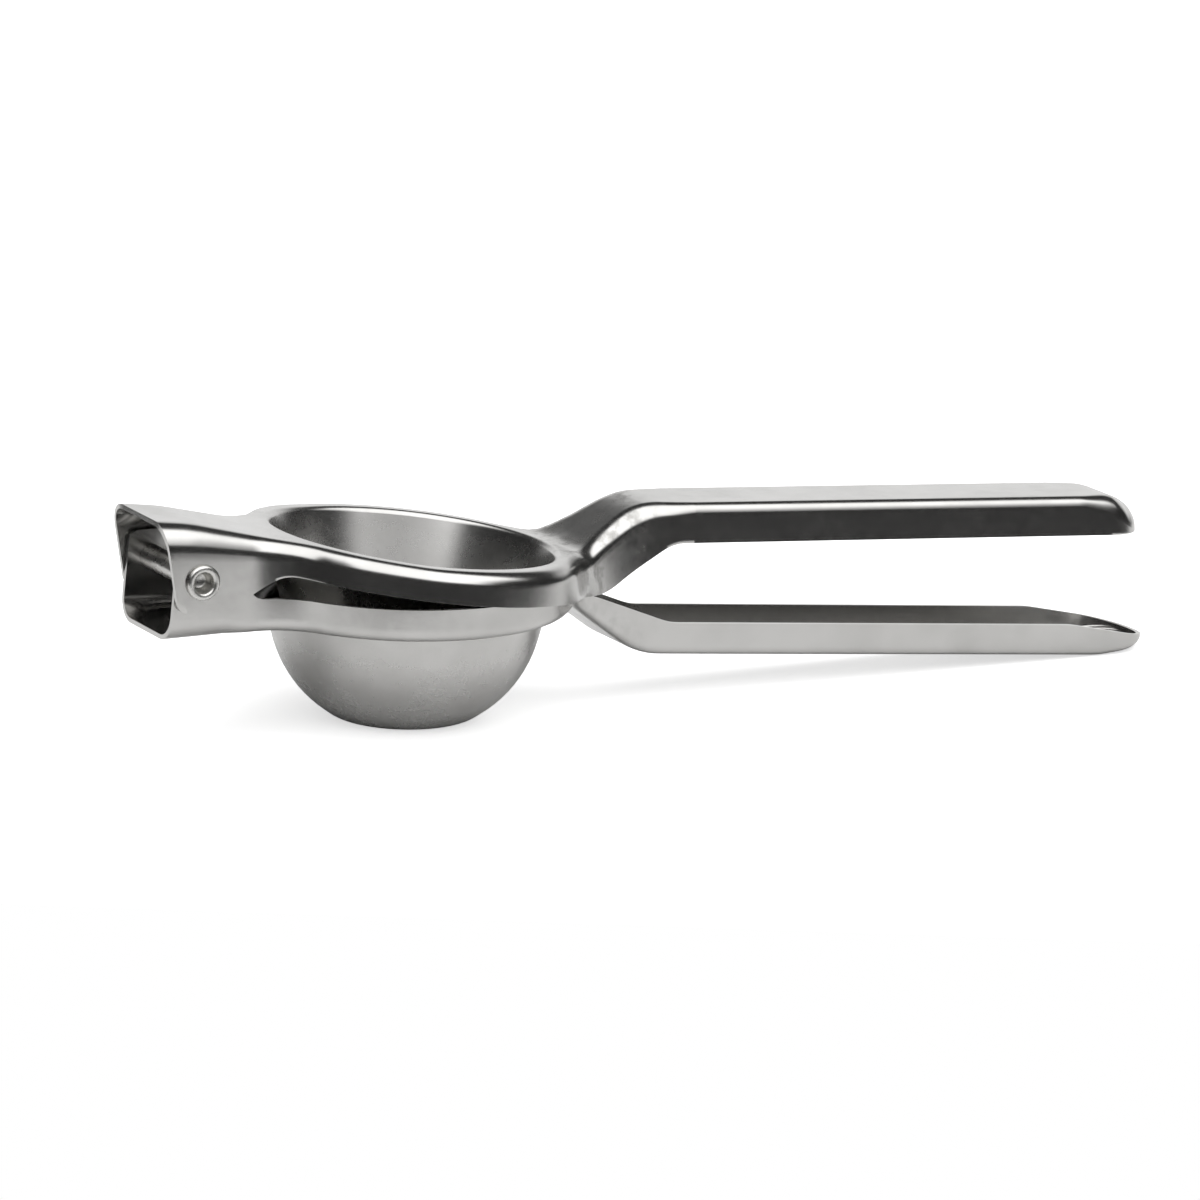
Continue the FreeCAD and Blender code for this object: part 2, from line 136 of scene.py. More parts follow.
class SqueezerUpper(bpy.types.PropertyGroup):
    """Sizes of the arm that holds the press bowl, measured from the pin"""
    rim: length("Rim radius", 33.0, "Outer radius of the skirt")
    bowl_ahead: length("Bowl centre", 48.4, "Distance from the pin to the press bowl's axis")
    ear_half: length("Hinge half width", 12.3, "Half the outer width of the hinge channel")
    grip_half: length("Handle half width", 9.3, "Half the outer width of the handle")
    plate: length("Plate height", 7.1, "Height of the flange above the pin")
    grip_neck: length("Handle neck", 22.0, "Radius where the handle meets the round rim")
    skirt: length("Skirt", 6.4, "Height of the skirt")
    reach: length("Reach", 207.3, "Distance from the pin to the end of the handle")
    closed_tilt: angle("Closed tilt", 6.0, "How far the arm slopes down to its handle when closed")
    end_back: length("End", 8.7, "How far the channel's top reaches behind the pin")
    end_rise: length("End rise", 3.2, "How far the channel's top rises to the hinge end")
    end_lean: length("End lean", 4.7, "How far the end leans forwards from top to bottom")
    ear_drop: length("Ear", 6.3, "How far the ears reach below the pin")
    ear_front: length("Ear front", 7.0, "Where the ear's lower edge ends in front of the pin")
    ear_rise: length("Ear edge rise", 1.7, "How far the ear's lower edge rises to there")
    ear_foot: length("Ear foot", 16.0, "Where the ear's edge meets the skirt, in front of the pin")
    ear_corner: length("Ear corner", 2.6, "Radius of the ear's corners")
    gap_rise: length("Gap rise", 1.3, "How much higher the skirt's edge stands at the ear")
    slope_start: length("Slope start", 79.6, "Where the top starts up to the handle")
    slope_run: length("Slope run", 13.1, "Length of that slope along the tool")
    slope_round: length("Slope bend", 7.0, "Radius of the bend where the slope leaves the flange")
    crest_round: length("Slope crest", 16.0, "Radius of the bend where the slope meets the handle")
    saddle: length("Saddle", 85.0, "Where the walls' edge starts up to the handle")
    heel: length("Heel", 99.4, "Where the walls' edge has come up to the handle")
    hump: length("Hinge hump", 1.5, "How far behind the pin the channel's top levels out")
    hump_height: length("Hump height", 10.2, "Height of the channel's top above the pin there")
    grip_lift: length("Handle lift", 9.2, "Height of that slope")
    grip_rise: angle("Handle rise", 2.45, "Angle of the handle above the flange")
    grip_wall: length("Handle wall", 7.4, "Height of the handle's walls")
    neck_drop: length("Neck drop", 1.4, "How much deeper the skirt is where it meets the handle")
    nose_run: length("Nose run", 8.0, "Length of the rounded nose")
    nose_drop: length("Nose drop", 3.6, "How far the top falls over the nose")
    nose_round: length("Nose bend", 12.0, "Radius where the top bends down to the nose")
    slope_bend: length("Slope's side bend", 3.3, "Outer radius between top and wall on the slope")
    crest_bend: length("Crest's side bend", 3.2, "Outer radius between top and wall where the handle starts")
    nose_bend: length("Nose's side bend", 5.2, "Outer radius between top and wall at the nose")
    shoulder: length("Shoulder", 24.0, "Where the top reaches the flange, from the rim's hinge side")
    brow_rise: length("Brow", 1.0, "How far the top stands above the flange just off the rim's hinge side")
    draft: angle("Wall draft", 9.0, "How far the walls lean outwards to their edges")


class SqueezerBowls(bpy.types.PropertyGroup):
    """Sizes of the two bowls, on their outer surfaces"""
    strainer_mouth: length("Strainer mouth", 26.6, "Radius where the strainer's wall meets its flange")
    strainer_draft: angle("Strainer draft", 14.0, "Lean of the strainer's wall at its mouth")
    strainer_start: length("Strainer foot", 13.1, "Radius where the flat floor's corner would be")
    strainer_foot: angle("Strainer foot angle", 35.0, "Rise of the foot above the floor")
    strainer_belly_round: length("Strainer belly", 24.0, "Radius of the belly")
    strainer_foot_round: length("Strainer foot bend", 6.0, "Radius of the foot")
    strainer_draw: length("Strainer draw", 1.2, "Radius under the flange")
    press_mouth: length("Press mouth", 27.9, "Radius where the press bowl's wall meets its flange")
    press_depth: length("Press depth", 26.5, "Depth of the press bowl with its floor")
    press_draft: angle("Press draft", 18.0, "Lean of the press bowl's wall at its mouth")
    press_start: length("Press foot", 11.0, "Radius where the flat floor's corner would be")
    press_foot: angle("Press foot angle", 42.0, "Rise of the foot above the floor")
    press_belly_round: length("Press belly", 15.0, "Radius of the belly")
    press_foot_round: length("Press foot bend", 6.0, "Radius of the foot")
    press_draw: length("Press draw", 0.4, "Radius under the flange")
    hole: length("Juice hole", 1.6, "Radius of a juice hole")
    inner_ring: length("Inner ring", 4.2, "Radius of the inner ring of juice holes")
    outer_ring: length("Outer ring", 8.6, "Radius of the outer ring of juice holes")
    inner_count: bpy.props.IntProperty(name="Inner holes", default=4, min=1,
                                       description="Juice holes in the inner ring")
    outer_count: bpy.props.IntProperty(name="Outer holes", default=9, min=1,
                                       description="Juice holes in the outer ring")


class SqueezerRivet(bpy.types.PropertyGroup):
    """Sizes of the semi-tubular rivet"""
    shank: length("Shank", 2.25, "Radius of the shank")
    hole: length("Ear hole", 2.3, "Radius of the holes in the ears")
    head: length("Head", 3.3, "Radius of both heads")
    height: length("Head height", 0.9, "How far both heads stand off the ears")
    ring: length("Ring tube", 0.65, "Radius of the rolled ring's section")
    recess: length("Recess", 1.5, "Radius of the hollow at its bottom")
    recess_depth: length("Recess depth", 3.0, "Depth of the hollow")
    seat: length("Seat", 12.4, "Distance of both heads' undersides from the middle plane")


class SqueezerFinish(bpy.types.PropertyGroup):
    """Colours and gloss of the steel"""
    steel: colour("Steel", "c6c5c3", "Stainless steel where it is clean")
    steel_dull: colour("Dull steel", "9b9a97", "Stainless steel where the press has rubbed it")
    rough: bpy.props.FloatProperty(name="Roughness", default=0.19, min=0, max=1,
                                   description="Gloss of the satin steel")
    rivet: colour("Rivet", "d2d1ce", "Bright wire of the rivet")


class SqueezerStage(bpy.types.PropertyGroup):
    """Camera, floor and studio light"""
    azimuth: angle("Camera azimuth", -28.428, "Camera direction about the upright axis")
    elevation: angle("Camera elevation", 13.446, "Camera height above the horizon")
    roll: angle("Camera roll", 1.9146, "Turn of the camera about its line of sight")
    aim: bpy.props.FloatVectorProperty(name="Camera aim", default=(0.038066, -0.006373, 0.020321), size=3,
                                       subtype="XYZ", unit="LENGTH",
                                       description="Point in the middle of the picture")
    distance: bpy.props.FloatProperty(name="Camera distance", default=1.3, unit="LENGTH",
                                      description="Distance from camera to the aim point")
    focal: bpy.props.FloatProperty(name="Focal length", default=205.53,
                                   description="Lens on a 36 mm wide sensor, in millimetres")
    floor: colour("Floor", "e6e6e6", "Pale table top")
    floor_glow: bpy.props.FloatProperty(name="Table glow", default=0.80, min=0,
                                        description="Light through the acrylic, seen by the camera only")
    fill: bpy.props.FloatProperty(name="Table fill", default=4.0, min=0, unit="POWER",
                                  description="Light that only matt surfaces catch, in watts")
    front: length("Table front", 150.0, "How far the table reaches in front of the aim point")


def rounded_path(corners, turn_step=math.radians(5)):
    """Points along a path of (x, z, radius) corners, each rounded by an arc tangent to both its sides."""
    points = []
    last = len(corners) - 1
    for index, (x, z, radius) in enumerate(corners):
        here = np.array([x, z])
        if radius <= 0 or index in (0, last):
            points.append(here[None])
            continue
        back = np.array(corners[index - 1][:2]) - here
        ahead = np.array(corners[index + 1][:2]) - here
        back /= np.linalg.norm(back)
        ahead /= np.linalg.norm(ahead)
        half = math.acos(np.clip(back @ ahead, -1, 1)) / 2
        bisector = (back + ahead) / np.linalg.norm(back + ahead)
        centre = here + bisector * radius / math.sin(half)
        first = here + back * radius / math.tan(half) - centre
        turn = math.pi - 2 * half
        side = math.copysign(1, back[0] * ahead[1] - back[1] * ahead[0])
        steps = max(2, math.ceil(turn / turn_step)) + 1
        angles = -side * np.linspace(0, turn, steps)
        cosine, sine = np.cos(angles), np.sin(angles)
        arc = np.stack([first[0] * cosine - first[1] * sine, first[0] * sine + first[1] * cosine], 1)
        points.append(centre + arc)
    return np.concatenate(points)


def shifted(corners, distance):
    """The same path moved to its left by a distance: sides stay parallel and arcs concentric."""
    flat = np.array([c[:2] for c in corners])
    along = np.diff(flat, axis=0)
    along /= np.linalg.norm(along, axis=1)[:, None]
    left = np.stack([-along[:, 1], along[:, 0]], 1) * distance
    moved = [(*(flat[0] + left[0]), 0)]
    for index in range(1, len(corners) - 1):
        one, two = along[index - 1], along[index]
        turn = one[0] * two[1] - one[1] * two[0]
        gap = flat[index] + left[index] - (flat[index - 1] + left[index - 1])
        point = flat[index - 1] + left[index - 1] + one * (gap[0] * two[1] - gap[1] * two[0]) / turn
        moved.append((*point, max(corners[index][2] - math.copysign(distance, turn), 0.05 * MM)))
    moved.append((*(flat[-1] + left[-1]), 0))
    return moved


def height_along(corners):
    """Height as a function of x for a path that never turns back in x."""
    path = rounded_path(corners, math.radians(2))
    if path[0, 0] > path[-1, 0]:
        path = path[::-1]
    return lambda x: np.interp(x, path[:, 0], path[:, 1])


def arc_points(centre, radius, start, end, step=math.radians(4)):
    """Points and directions on an arc, from one angle to another."""
    count = max(2, math.ceil(abs(end - start) / step)) + 1
    angles = np.linspace(start, end, count)
    ways = np.stack([np.cos(angles), np.sin(angles)], 1)
    return np.asarray(centre) + radius * ways, ways


def half_outline(centre, size, back, front, sheet, dense_to):
    """Left half of an arm seen from above, from its hinge end round the rim to the tip.

    The hinge line runs into the round rim through a concave arc, the rim into the
    handle line through another, and the handle ends in a quarter circle. Points stand
    closer up to dense_to. Returned with the outward direction at every point, and with
    the places of the two necks and of the tip.
    """
    rim, ear_half, grip_half, grip_neck = size.rim, size.ear_half, size.grip_half, size.grip_neck
    neck_x = centre - math.sqrt((rim + sheet.neck) ** 2 - (ear_half + sheet.neck) ** 2)
    neck_y = ear_half + sheet.neck
    grip_x = centre + math.sqrt((rim + grip_neck) ** 2 - (grip_half + grip_neck) ** 2)
    grip_y = grip_half + grip_neck
    tip_round = grip_half - sheet.tip_flat / 2
    tip_x = front - tip_round
    end_zone, tip_zone, fine_step = 2.5 * MM, 14 * MM, 0.6 * MM
    end = back + end_zone * (1 - np.cos(np.linspace(0, math.pi / 2, 12)))
    hinge = np.concatenate([end, np.linspace(end[-1], neck_x, 30)[1:]])
    dense = np.arange(grip_x, dense_to, fine_step)
    sparse = np.linspace(dense_to, tip_x - tip_zone, 34)
    grip = np.concatenate([dense, sparse, np.linspace(sparse[-1], tip_x, 16)[1:]])
    first, first_way = arc_points((neck_x, neck_y), sheet.neck,
                                  -math.pi / 2, math.atan2(-neck_y, centre - neck_x))
    round_rim = arc_points((centre, 0), rim, math.atan2(neck_y, neck_x - centre),
                           math.atan2(grip_y, grip_x - centre), math.radians(1.8))
    second, second_way = arc_points((grip_x, grip_y), grip_neck,
                                    math.atan2(-grip_y, centre - grip_x), -math.pi / 2)
    tip = arc_points((tip_x, sheet.tip_flat / 2), tip_round, math.pi / 2, 0)
    straight = np.array([[0.0, 1.0]])
    points = np.concatenate([
        np.stack([hinge, np.full_like(hinge, ear_half)], 1), first, round_rim[0], second,
        np.stack([grip, np.full_like(grip, grip_half)], 1), tip[0], [[front, 0.0]]])
    ways = np.concatenate([
        np.repeat(straight, len(hinge), 0), -first_way, round_rim[1], -second_way,
        np.repeat(straight, len(grip), 0), tip[1], [[1.0, 0.0]]])
    keep = np.r_[True, np.linalg.norm(np.diff(points, axis=0), axis=1) > TINY]
    return points[keep], ways[keep], (neck_x, grip_x, tip_x)


def bowl_corners(mouth, height, draft, start, foot_angle, belly, foot, draw, flange):
    """Outer surface of a bowl from the middle of its floor out to its flange."""
    lean, fall = math.tan(draft), math.tan(foot_angle)
    knee = (mouth - height * lean - start) * fall / (1 - lean * fall)
    return [(0, 0, 0), (start, 0, foot), (start + knee / fall, knee, belly),
            (mouth, height, draw), (flange, height, 0)]


def mouth_targets(points, necks, centre, mouth):
    """Where each column of an arm ends on the skin: the middle line or the bowl's mouth.

    Beside the hinge and the handle a column crosses straight to the middle line.
    From each neck to 60 degrees off it, the columns share out the last stretch of
    that line and then the arc of the mouth, evenly along the outline.
    """
    neck_x, grip_x, tip_x = necks
    turn = np.arctan2(points[:, 1], points[:, 0] - centre)
    targets = np.stack([points[:, 0], np.zeros(len(points))], 1)
    beyond = points[:, 0] > tip_x
    targets[beyond, 0] = tip_x + 0.3 * (points[beyond, 0] - tip_x)
    run = np.r_[0, np.cumsum(np.linalg.norm(np.diff(points, axis=0), axis=1))]
    hinge_start = np.searchsorted(points[:, 0], neck_x + TINY) - 1
    rim_part = (turn < math.radians(120)) & (turn > math.radians(60))
    first, last = np.flatnonzero(rim_part)[[0, -1]]
    grip_start = np.flatnonzero((points[:, 0] >= grip_x - TINY))[0]
    for low, high, line_end, arc_low, arc_high in (
            (hinge_start, first, centre - mouth, math.pi, turn[first]),
            (grip_start, last, centre + mouth, 0.0, turn[last])):
        step = 1 if high > low else -1
        order = np.arange(low, high + step, step)
        share = np.abs(run[order] - run[low]) / abs(run[high] - run[low])
        line = abs(line_end - points[low, 0])
        arc = abs(arc_high - arc_low) * mouth
        joint = np.argmin(np.abs(share - line / (line + arc)))
        share_line = np.clip(share / share[joint], 0, 1)
        share_arc = np.clip((share - share[joint]) / (1 - share[joint]), 0, 1)
        bend = arc_low + (arc_high - arc_low) * share_arc
        on_arc = np.arange(len(order)) >= joint
        targets[order, 0] = np.where(on_arc, centre + mouth * np.cos(bend),
                                     points[low, 0] + (line_end - points[low, 0]) * share_line)
        targets[order, 1] = np.where(on_arc, mouth * np.sin(bend), 0)
        if step > 0:
            bowl_first = low + joint
        else:
            bowl_last = low - joint
    spokes = turn[first:last + 1]
    targets[first:last + 1] = np.stack([centre + mouth * np.cos(spokes), mouth * np.sin(spokes)], 1)
    targets[[bowl_first, bowl_last], 1] = 0
    return targets, bowl_first, bowl_last


def end_share(x, back):
    """How much a column leans with the hinge end: 1 at the end, falling evenly to 0."""
    return np.clip(1 - (x - back) / END_REACH, 0, 1)


def wall_depths(x, skin, edge_path, side, end):
    """Length of each column's wall, from the skin to the sheet's trimmed edge.

    The edge is drawn as it looks from the side. A leaning wall stands at another x
    at its edge than at the skin, so the two are fitted to each other step by step.
    """
    back, lean = end
    trim = rounded_path(edge_path, math.radians(3))[1:]
    flat_x = trim[:, 0].copy()
    for _ in range(12):
        rise = side * (trim[:, 1] - skin(flat_x))
        flat_x = trim[:, 0] - lean * rise * end_share(flat_x, back)
    order = np.argsort(flat_x)
    edge = np.interp(x, flat_x[order], trim[order, 1])
    depth = side * (edge - skin(x))
    for _ in range(4):
        depth = side * (edge - skin(x + lean * depth * end_share(x, back)))
    return depth


def wall_rows(points, ways, skin, depth, bend, draft, side, end):
    """Rows of points up or down a wall and round its bend onto the skin.

    A wall leans outwards by the tangent of the draft times its length, and less and
    less towards the hinge end. Its bend is a quarter circle.
    """
    back, lean = end
    fade = np.clip((points[:, 0] - back - 2 * END_REACH) / (8 * MM), 0, 1)
    base = np.minimum(depth, DRAFT_DEPTH) * math.tan(draft) * fade * fade * (3 - 2 * fade)
    share = end_share(points[:, 0], back)

    def row(inset, height):
        """The outline moved inwards by its insets, at one height of each column."""
        flat = points - ways * (base * (1 - height / depth) + inset)[:, None]
        flat[:, 1] = np.maximum(flat[:, 1], 0)
        flat[:, 0] += lean * share * height
        return np.column_stack([flat, skin(flat[:, 0]) + side * height])

    wall = [row(0, bend + (depth - bend) * part) for part in np.linspace(1, 0, WALL_ROWS)]
    turns = np.linspace(0, math.pi / 2, BEND_ROWS)[1:]
    return wall + [row(bend * (1 - math.cos(turn)), bend * (1 - math.sin(turn))) for turn in turns]


def skin_rows(start, targets, skin, centre, round_part):
    """Rows of points across the skin, from the bends' inner ends to the columns' targets.

    Round the bowl a point's radius and its angle both change evenly; elsewhere a
    column runs straight.
    """
    from_centre, to_centre = start - (centre, 0), targets - (centre, 0)
    radii = np.hypot(*from_centre.T), np.hypot(*to_centre.T)
    turns = np.arctan2(*from_centre.T[::-1]), np.arctan2(*to_centre.T[::-1])
    rows = []
    for part in np.linspace(0, 1, SKIN_ROWS)[1:]:
        radius = radii[0] + (radii[1] - radii[0]) * part
        turn = turns[0] + (turns[1] - turns[0]) * part
        spiral = np.stack([centre + radius * np.cos(turn), radius * np.sin(turn)], 1)
        flat = np.where(round_part[:, None], spiral, start + (targets - start) * part)
        rows.append(np.column_stack([flat, skin(flat[:, 0])]))
    return rows


def bowl_rings(profile, spokes, skin, centre):
    """Rings of a bowl below its mouth: the profile's radii times the spokes' directions.

    Each spoke is stretched upright so that its mouth follows the skin's rise and fall.
    """
    rings = profile[-2:0:-1]
    bowl = np.concatenate([rings[:, None, :1] * spokes[None],
                           np.broadcast_to(rings[:, None, 1:], (len(rings), len(spokes), 1))], 2)
    bowl[:, :, 0] += centre
    low, high = profile[0, 1], profile[-1, 1]
    bowl[:, :, 2] += (skin(bowl[:, :, 0]) - high) * (bowl[:, :, 2] - low) / (high - low)
    return bowl


def strips(index):
    """Four-sided faces between the neighbours of a grid of point numbers."""
    return np.stack([index[:-1, :-1], index[:-1, 1:], index[1:, 1:], index[1:, :-1]], 2).reshape(-1, 4)


def arm_grid(plan, skin, edge_path, rounds, draft, side, end, profile, centre):
    """Outer surface of the left half of an arm, as points and faces.

    A column starts at the sheet's free edge, runs up or down the wall, turns through
    a quarter circle onto the skin, crosses it to its target and, at the bowl's mouth,
    carries on down the bowl, whose profile is turned about the upright axis. The
    skin's height depends on x alone. side is +1 where walls stand up from the skin and
    -1 where they hang, and end says where the hinge end is and how it leans.
    """
    points, ways, necks = plan
    depth = wall_depths(points[:, 0], skin, edge_path, side, end)
    bend = np.minimum(np.interp(points[:, 0], *rounds), 0.8 * depth)
    rows = wall_rows(points, ways, skin, depth, bend, draft, side, end)
    mouth = profile[-1, 0]
    targets, first, last = mouth_targets(points, necks, centre, mouth)
    column = np.arange(len(points))
    rows += skin_rows(rows[-1][:, :2], targets, skin, centre, (column >= first) & (column <= last))
    grid = np.stack(rows)
    bowl = bowl_rings(profile, (grid[-1, first:last + 1, :2] - (centre, 0)) / mouth, skin, centre)
    arm_count, bowl_count = grid.shape[0] * grid.shape[1], bowl.shape[0] * bowl.shape[1]
    index = np.arange(arm_count).reshape(grid.shape[:2])
    below = arm_count + np.arange(bowl_count).reshape(bowl.shape[:2])
    lines = np.concatenate([index[-1:, first:last + 1], below])
    floor_ring = lines[-1]
    middle = np.full(len(floor_ring) - 1, arm_count + bowl_count)
    fan = np.stack([floor_ring[:-1], floor_ring[1:], middle], 1)
    corners = np.concatenate([grid.reshape(-1, 3), bowl.reshape(-1, 3), [[centre, 0, profile[0, 1]]]])
    return corners, np.concatenate([strips(index), strips(lines)]), fan


def mesh_object(name, points, quads, triangles):
    """An object at the origin whose mesh is these points and faces, welded and cleared of degenerate faces.
    """
    mesh = bpy.data.meshes.new(name)
    faces = quads.tolist() + triangles.tolist()
    mesh.from_pydata(points.tolist(), [], faces)
    built = bmesh.new()
    built.from_mesh(mesh)
    bmesh.ops.remove_doubles(built, verts=built.verts, dist=WELD)
    bmesh.ops.dissolve_degenerate(built, edges=built.edges, dist=WELD / 2)
    built.to_mesh(mesh)
    built.free()
    piece = bpy.data.objects.new(name, mesh)
    bpy.context.collection.objects.link(piece)
    return piece


def mirrored(points, quads, triangles):
    """Both halves of a shape from its left half, mirrored in the plane y = 0."""
    other = points * (1, -1, 1)
    count = len(points)
    return (np.concatenate([points, other]), np.concatenate([quads, quads[:, ::-1] + count]),
            np.concatenate([triangles, triangles[:, ::-1] + count]))


def turned_about(points, tilt, move):
    """Points turned about the Y axis and then moved."""
    cosine, sine = math.cos(tilt), math.sin(tilt)
    turned = np.stack([points[:, 0] * cosine + points[:, 2] * sine, points[:, 1],
                       points[:, 2] * cosine - points[:, 0] * sine], 1)
    return turned + np.asarray(move)


def lathe(name, profile, spokes, place):
    """A profile of (radius, along) points turned about an axis, which place then puts into the frame."""
    angles = np.linspace(0, 2 * math.pi, spokes, endpoint=False)
    inside = profile[1:-1]
    ring = np.stack([inside[:, :1] * np.cos(angles), inside[:, :1] * np.sin(angles),
                     np.repeat(inside[:, 1:], spokes, 1)], 2)
    poles = np.array([[0, 0, profile[0, 1]], [0, 0, profile[-1, 1]]])
    index = np.arange(len(inside) * spokes).reshape(len(inside), spokes)
    after = np.roll(index, -1, 1)
    quads = np.stack([index[:-1], after[:-1], after[1:], index[1:]], 2).reshape(-1, 4)
    low, high = len(inside) * spokes, len(inside) * spokes + 1
    fans = np.concatenate([np.stack([after[0], index[0], np.full(spokes, low)], 1),
                           np.stack([index[-1], after[-1], np.full(spokes, high)], 1)])
    return mesh_object(name, place(np.concatenate([ring.reshape(-1, 3), poles])), quads, fans)


def bake(piece):
    """Turn a piece's modifiers into plain mesh."""
    bpy.context.view_layer.update()
    mesh = bpy.data.meshes.new_from_object(piece.evaluated_get(bpy.context.evaluated_depsgraph_get()))
    piece.modifiers.clear()
    piece.data = mesh


def cut_holes(piece, cutters):
    """Take closed shapes out of a piece, and delete them."""
    for cutter in cutters:
        tool = piece.modifiers.new("Punch", "BOOLEAN")
        tool.operation, tool.solver, tool.object = "DIFFERENCE", "EXACT", cutter
        bake(piece)
        bpy.data.objects.remove(cutter)


def pins_along(axis, radius, half_length, spokes, places):
    """Closed rods of one radius, one object each, along Y or Z at the given places."""
    profile = np.array([[0, -half_length], [radius, -half_length], [radius, half_length], [0, half_length]])
    order = (0, 2, 1) if axis == "Y" else (0, 1, 2)
    flip = (1, 1, 1) if axis == "Z" else (1, -1, 1)
    return [lathe(f"punch_{number}", profile, spokes,
                  lambda points, place=place: points[:, order] * flip + np.asarray(place))
            for number, place in enumerate(places)]


def fine_profile(corners):
    """A bowl's profile with its long runs divided, so that no face is longer than about two millimetres."""
    path = rounded_path(corners, math.radians(4))
    run = np.r_[0, np.cumsum(np.linalg.norm(np.diff(path, axis=0), axis=1))]
    gaps = np.diff(run)
    counts = np.maximum(1, np.ceil(gaps / (2.2 * MM))).astype(int)
    steps = np.concatenate([start + gap * np.arange(count) / count
                            for start, gap, count in zip(run, gaps, counts)] + [run[-1:]])
    return np.stack([np.interp(steps, run, path[:, 0]), np.interp(steps, run, path[:, 1])], 1)


def face_out(piece):
    """Point every face away from the metal side: outwards on a closed piece, and off the sheet on an arm."""
    built = bmesh.new()
    built.from_mesh(piece.data)
    bmesh.ops.recalc_face_normals(built, faces=built.faces)
    built.to_mesh(piece.data)
    built.free()


def finish_sheet(piece, sheet):
    """Give an arm's surface its wall thickness, inwards and even."""
    solid = piece.modifiers.new("Sheet", "SOLIDIFY")
    solid.thickness, solid.offset = sheet.thickness, -1
    solid.use_even_offset = True
    solid.use_quality_normals = True
    bake(piece)


def round_edges(piece, width, segments):
    """Round a piece's cut edges and shade it smooth with area-weighted normals."""
    bevel = piece.modifiers.new("Cut edges", "BEVEL")
    bevel.width, bevel.segments, bevel.limit_method = width, segments, "ANGLE"
    bevel.angle_limit = math.radians(38)
    bevel.use_clamp_overlap = True
    bake(piece)
    piece.data.polygons.foreach_set("use_smooth", np.ones(len(piece.data.polygons), bool))
    piece.data.set_sharp_from_angle(angle=math.radians(50))
    weights = piece.modifiers.new("Normals", "WEIGHTED_NORMAL")
    weights.keep_sharp = True
    bake(piece)
    piece.data.validate()


def node(tree, kind, inputs=(), **settings):
    """Add a shader node, set its properties, and fill or link its inputs by name or number."""
    made = tree.nodes.new(kind)
    for key, value in settings.items():
        setattr(made, key, value)
    for key, value in dict(inputs).items():
        if isinstance(value, bpy.types.NodeSocket):
            tree.links.new(value, made.inputs[key])
        else:
            made.inputs[key].default_value = value
    return made


def new_material(name):
    """An empty node material with its output, ready for nodes."""
    material = bpy.data.materials.new(name)
    material.use_nodes = True
    material.node_tree.nodes.clear()
    return material, material.node_tree


def rgba(value):
    """A colour property as the four numbers of a colour socket."""
    return (*value, 1.0)


def noise(tree, place, patch, detail, roughness):
    """Soft random patches between 0 and 1, each about one patch length wide."""
    return node(tree, "ShaderNodeTexNoise", {"Vector": place, "Scale": 1 / patch, "Detail": detail,
                "Roughness": roughness}).outputs[0]


def ramp(tree, value, start, stop, low=0.0, high=1.0, kind="LINEAR"):
    """A value carried from start and stop to low and high, and held level past both."""
    return node(tree, "ShaderNodeMapRange", {"Value": value, "From Min": start, "From Max": stop,
                "To Min": low, "To Max": high}, interpolation_type=kind).outputs[0]


def worked(tree, operation, *values):
    """What one Math node makes of these values."""
    return node(tree, "ShaderNodeMath", dict(enumerate(values)), operation=operation).outputs[0]


